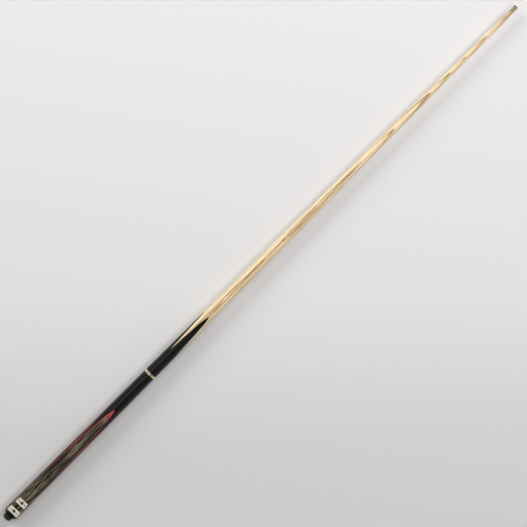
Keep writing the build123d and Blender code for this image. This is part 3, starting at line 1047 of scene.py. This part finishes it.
bpy.ops.object.select_all(action="DESELECT")
bpy.ops.mesh.primitive_plane_add(
    size=FLOOR_SIZE, location=(FLOOR_X, 0, -(BUTT_RADIUS + FLOOR_GAP) * MM)
)
floor = bpy.context.object
floor.name = "studio_floor"
sheet_white, tree, skin, place = new_finish("paper_backdrop_matt", IOR=1.45, Roughness=0.9)
way = add(tree, "VectorMath", {0: place, 1: PAPER_WAY}, operation="DOT_PRODUCT")
far = add(tree, "MapRange", {
    "Value": way.outputs["Value"], "From Min": -PAPER_REACH, "From Max": PAPER_REACH,
})
paper = add(tree, "ValToRGB", {"Fac": far.outputs["Result"]}, stops=[
    (0.0, colour("#D4D3D1")), (0.15, colour("#D4D3D1")), (0.45, colour("#E1E0DF")),
    (1.0, colour("#E5E4E4")),
])
tree.links.new(paper.outputs["Color"], skin.inputs["Base Color"])
floor.data.materials.append(sheet_white)
print("floor at", round(floor.location.z / MM, 2), "mm, in", sheet_white.name)

# %% [markdown]
# ## The lamps
# Four soft boxes light the cue.  The key lamp stands low to the left and throws a wide soft
# shadow to the right.  The end lamp, beyond the tip, shines along the cue.  The fill lamp and
# the weak streak lamp hang overhead, and the streak lamp draws the pale line down the lacquer.
# The key and fill lamps stand for lamps behind polarising film: their reflections are left out
# of the gloss, so the ebony stays black.  Colours are shown as they are, with no film look.

# %% Four soft boxes
middle = Vector(((FOOT_X + TIP_X) / 2 * MM, 0, 0))


def lamp(name, at, size, power, film=False):
    """A soft box aimed at the middle of the cue; polarising film takes its reflection away."""
    data = bpy.data.lights.new(name, "AREA")
    data.shape = "RECTANGLE"
    data.size, data.size_y = size
    data.energy = power
    item = bpy.data.objects.new(name, data)
    bpy.context.collection.objects.link(item)
    item.location = middle + Vector(at)
    item.rotation_euler = (middle - item.location).to_track_quat("-Z", "Y").to_euler()
    item.visible_camera = False
    item.visible_glossy = not film


# name, place from the middle of the cue in metres, size in metres, watts
lamp("key_lamp", (0.0, 5.4, 2.7), (3.4, 2.6), 190.0, film=True)
lamp("end_lamp", (5.6, 0.0, 3.1), (2.4, 2.4), 275.0)
lamp("fill_lamp", (0.0, -1.9, 4.1), (2.4, 1.2), 40.0, film=True)
lamp("streak_lamp", (0.0, 1.2, 2.5), (2.6, 1.3), 10.5)
bpy.context.scene.view_settings.view_transform = "Standard"

# %% [markdown]
# ## The room
# The room round the cue is pale at the horizon and darker overhead.  The round sides of the cue
# mirror the horizon and the top mirrors the ceiling, so the edges come out pale and the middle
# stays deep.  The height of a direction picks the brightness from a ramp.

# %% Pale room
SKY = [(0.0, 0.90), (0.35, 0.85), (0.7, 0.42), (0.88, 0.15), (1.0, 0.12)]
SKY_STRENGTH = 0.46
world = bpy.data.worlds.new("pale_room")
world.use_nodes = True
bpy.context.scene.world = world
sky = world.node_tree
compass = add(sky, "TexCoord").outputs["Generated"]
steep = add(sky, "SeparateXYZ", {"Vector": compass}).outputs["Z"]
glow = add(sky, "ValToRGB", {"Fac": steep}, stops=SKY).outputs["Color"]
room = sky.nodes["Background"]
sky.links.new(glow, room.inputs["Color"])
room.inputs["Strength"].default_value = SKY_STRENGTH
print("world:", world.name, "from", SKY[0][1], "at the horizon to", SKY[-1][1], "overhead")

# %% [markdown]
# ## The camera
# The camera looks down on the cue with a long lens, so perspective hardly changes the taper.
# It leans a little, and it is turned so that the cue runs from corner to corner.  Its three
# axes are worked out from those two angles and go straight into its matrix.

# %% Camera
LEAN = math.radians(5.0)         # the camera stands a little to the left of straight above
LIE = math.radians(45.1)         # the cue rises to the right across the picture
FRAME_WIDTH = 1.0551             # metres across the picture at the cue
LENS, FILM = 100.0, 36.0         # millimetres
AIM_ALONG, AIM_ASIDE = 1.66, -4.8    # millimetres from the cue's middle to the picture's
back = Vector((0, math.sin(LEAN), math.cos(LEAN)))
along = Vector((1, 0, 0))
athwart = back.cross(along)
right = along * math.cos(LIE) - athwart * math.sin(LIE)
upward = along * math.sin(LIE) + athwart * math.cos(LIE)
camera_data = bpy.data.cameras.new("studio_camera")
camera_data.lens = LENS
camera_data.sensor_width = FILM
camera_data.clip_end = 50.0
camera = bpy.data.objects.new("studio_camera", camera_data)
bpy.context.collection.objects.link(camera)
distance = FRAME_WIDTH * LENS / FILM
aim = middle + along * AIM_ALONG * MM + athwart * AIM_ASIDE * MM
pose = camera.matrix_world.copy()
for row in range(3):
    pose[row][0], pose[row][1], pose[row][2] = right[row], upward[row], back[row]
    pose[row][3] = (aim + back * distance)[row]
camera.matrix_world = pose
bpy.context.scene.camera = camera
print("camera", [round(c, 3) for c in camera.location])
